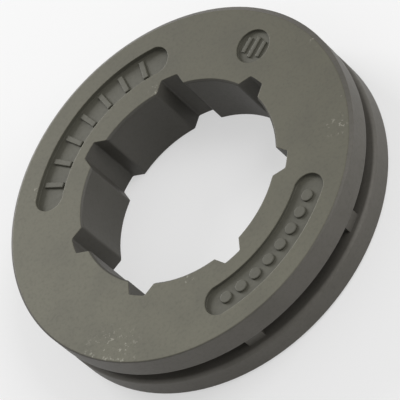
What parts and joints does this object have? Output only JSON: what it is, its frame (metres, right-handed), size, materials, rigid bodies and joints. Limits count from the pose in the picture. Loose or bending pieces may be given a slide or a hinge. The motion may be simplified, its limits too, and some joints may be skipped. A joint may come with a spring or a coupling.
{
  "type": "chainsaw rim sprocket",
  "caption": "Flat ring with a splined bore and flanges joined by teeth across a narrow groove. It slides on a clutch drum's hub and drives a saw chain.",
  "frame": {"origin": "on the bore axis, in the plane of the back face", "axes": "+Z along the bore axis, out of the marked face; +Y through the middle of one spline slot"},
  "size_m": [0.04, 0.04, 0.0074],
  "materials": {
    "dark_steel": "dark matt oxide, lightly worn at the edges"
  },
  "bodies": {
    "root": {"rim_sprocket": "dark_steel"}
  },
  "joints": []
}
